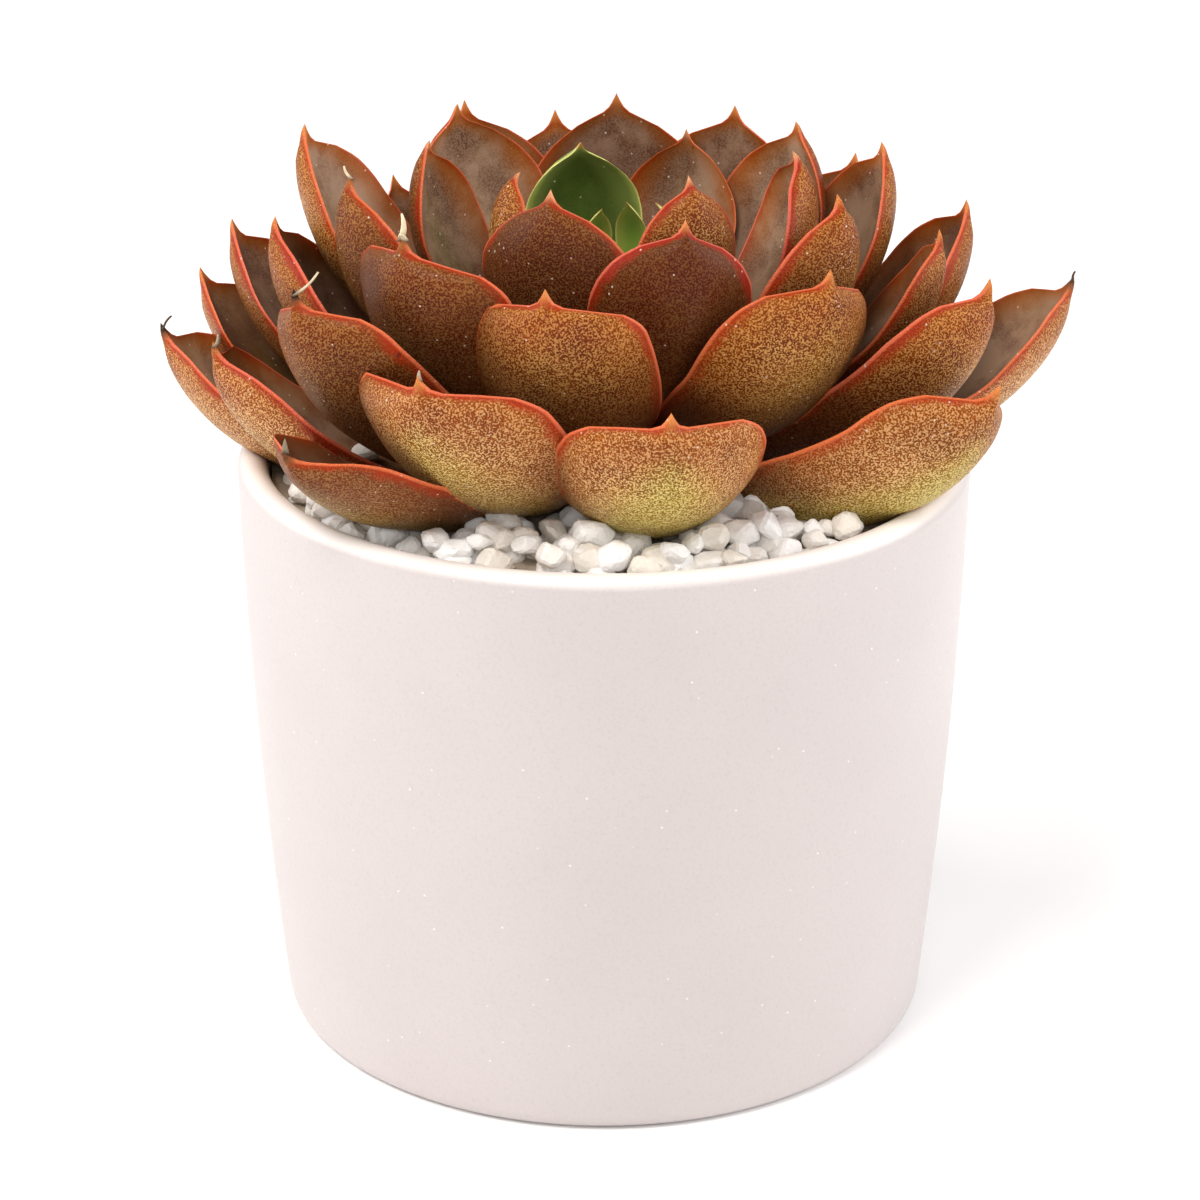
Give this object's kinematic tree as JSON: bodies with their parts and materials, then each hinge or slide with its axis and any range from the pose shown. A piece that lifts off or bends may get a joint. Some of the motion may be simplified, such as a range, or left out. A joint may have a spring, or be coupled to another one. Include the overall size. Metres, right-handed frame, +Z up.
{
  "type": "potted succulent",
  "caption": "Rosette succulent with pointed fleshy leaves growing through white pebbles in a round glazed ceramic pot.",
  "frame": {"origin": "centre of the pot's flat foot, on the surface it stands on", "axes": "+Z up along the pot's axis; -Y is the side the plant is usually looked at from"},
  "size_m": [0.1363, 0.1223, 0.1355],
  "materials": {
    "glaze": "satin, warm white with a faint fine speckle",
    "soil": "loose potting soil",
    "pebbles": "loose rounded white chips",
    "stem": "dry bark",
    "leaf_outer": "waxy leaf, red-brown with a powdery bloom",
    "leaf_middle": "waxy leaf, red-brown with orange margins",
    "leaf_inner": "waxy leaf, mauve-brown with pink margins",
    "leaf_heart": "waxy leaf, green"
  },
  "bodies": {
    "root": {"pot": "glaze", "potting_soil": "soil", "pebble_layer": "pebbles", "stem": "stem", "outer_leaf_1": "leaf_outer", "outer_leaf_2": "leaf_outer", "outer_leaf_3": "leaf_outer", "outer_leaf_4": "leaf_outer", "outer_leaf_5": "leaf_outer", "outer_leaf_6": "leaf_outer", "outer_leaf_7": "leaf_outer", "outer_leaf_8": "leaf_outer", "outer_leaf_9": "leaf_outer", "outer_leaf_10": "leaf_outer", "outer_leaf_11": "leaf_outer", "outer_leaf_12": "leaf_outer", "outer_leaf_13": "leaf_outer", "middle_leaf_1": "leaf_middle", "middle_leaf_2": "leaf_middle", "middle_leaf_3": "leaf_middle", "middle_leaf_4": "leaf_middle", "middle_leaf_5": "leaf_middle", "middle_leaf_6": "leaf_middle", "middle_leaf_7": "leaf_middle", "middle_leaf_8": "leaf_middle", "middle_leaf_9": "leaf_middle", "middle_leaf_10": "leaf_middle", "middle_leaf_11": "leaf_middle", "middle_leaf_12": "leaf_middle", "middle_leaf_13": "leaf_middle", "middle_leaf_14": "leaf_middle", "middle_leaf_15": "leaf_middle", "middle_leaf_16": "leaf_middle", "middle_leaf_17": "leaf_middle", "middle_leaf_18": "leaf_middle", "middle_leaf_19": "leaf_middle", "middle_leaf_20": "leaf_middle", "middle_leaf_21": "leaf_middle", "middle_leaf_22": "leaf_middle", "inner_leaf_1": "leaf_inner", "inner_leaf_2": "leaf_inner", "inner_leaf_3": "leaf_inner", "inner_leaf_4": "leaf_inner", "inner_leaf_5": "leaf_inner", "inner_leaf_6": "leaf_inner", "heart_leaf_1": "leaf_heart", "heart_leaf_2": "leaf_heart", "heart_leaf_3": "leaf_heart", "heart_leaf_4": "leaf_heart", "heart_leaf_5": "leaf_heart", "heart_leaf_6": "leaf_heart"}
  },
  "joints": []
}
